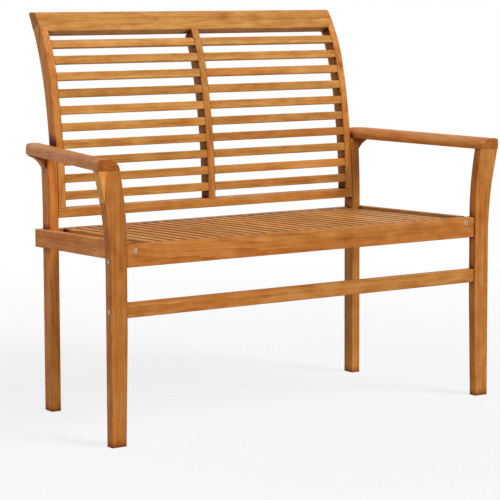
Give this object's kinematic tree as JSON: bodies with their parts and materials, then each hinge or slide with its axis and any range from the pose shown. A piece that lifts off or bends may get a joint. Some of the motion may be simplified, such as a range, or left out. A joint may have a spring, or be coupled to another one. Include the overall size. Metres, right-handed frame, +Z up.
{
  "type": "garden bench",
  "caption": "Slatted wooden garden bench for two with a curved high back, flared front legs and tapered armrests.",
  "frame": {"origin": "on the ground, under the middle of the bench's overall box", "axes": "+X along the bench to the right of someone facing its front, +Y from front to back, +Z up"},
  "size_m": [1.12, 0.55, 0.94],
  "materials": {
    "teak_frame": "oiled teak, satin",
    "teak_arms": "oiled teak, satin",
    "teak_back_slats": "oiled teak, satin",
    "teak_seat_slats": "oiled teak, satin",
    "steel_bolts": "zinc plated steel",
    "steel_screws": "dull plated steel",
    "zinc_barrel_nuts": "zinc plated steel"
  },
  "bodies": {
    "root": {"arm_bracket_left": "teak_frame", "arm_bracket_right": "teak_frame", "arm_left": "teak_arms", "arm_right": "teak_arms", "back_bottom_rail": "teak_frame", "back_frame_screws": "steel_screws", "back_mullion": "teak_frame", "back_slat_left_01": "teak_back_slats", "back_slat_left_02": "teak_back_slats", "back_slat_left_03": "teak_back_slats", "back_slat_left_04": "teak_back_slats", "back_slat_left_05": "teak_back_slats", "back_slat_left_06": "teak_back_slats", "back_slat_left_07": "teak_back_slats", "back_slat_left_08": "teak_back_slats", "back_slat_left_09": "teak_back_slats", "back_slat_left_10": "teak_back_slats", "back_slat_right_01": "teak_back_slats", "back_slat_right_02": "teak_back_slats", "back_slat_right_03": "teak_back_slats", "back_slat_right_04": "teak_back_slats", "back_slat_right_05": "teak_back_slats", "back_slat_right_06": "teak_back_slats", "back_slat_right_07": "teak_back_slats", "back_slat_right_08": "teak_back_slats", "back_slat_right_09": "teak_back_slats", "back_slat_right_10": "teak_back_slats", "back_stile_left": "teak_frame", "back_stile_right": "teak_frame", "barrel_nuts": "zinc_barrel_nuts", "crest_rail": "teak_frame", "front_leg_left": "teak_frame", "front_leg_right": "teak_frame", "front_leg_wedge_left": "teak_frame", "front_leg_wedge_right": "teak_frame", "front_rail": "teak_frame", "front_stretcher": "teak_frame", "leg_bolts": "steel_bolts", "rear_leg_left": "teak_frame", "rear_leg_right": "teak_frame", "rear_rail": "teak_frame", "seat_cleat_front": "teak_frame", "seat_cleat_rear": "teak_frame", "seat_slats_1": "teak_seat_slats", "seat_slats_2": "teak_seat_slats", "seat_slats_3": "teak_seat_slats", "seat_slats_4": "teak_seat_slats", "seat_slats_5": "teak_seat_slats", "seat_slats_6": "teak_seat_slats", "seat_slats_7": "teak_seat_slats", "seat_slats_8": "teak_seat_slats", "seat_slats_9": "teak_seat_slats", "side_rail_bolts": "steel_bolts", "side_rail_left": "teak_frame", "side_rail_right": "teak_frame"}
  },
  "joints": []
}
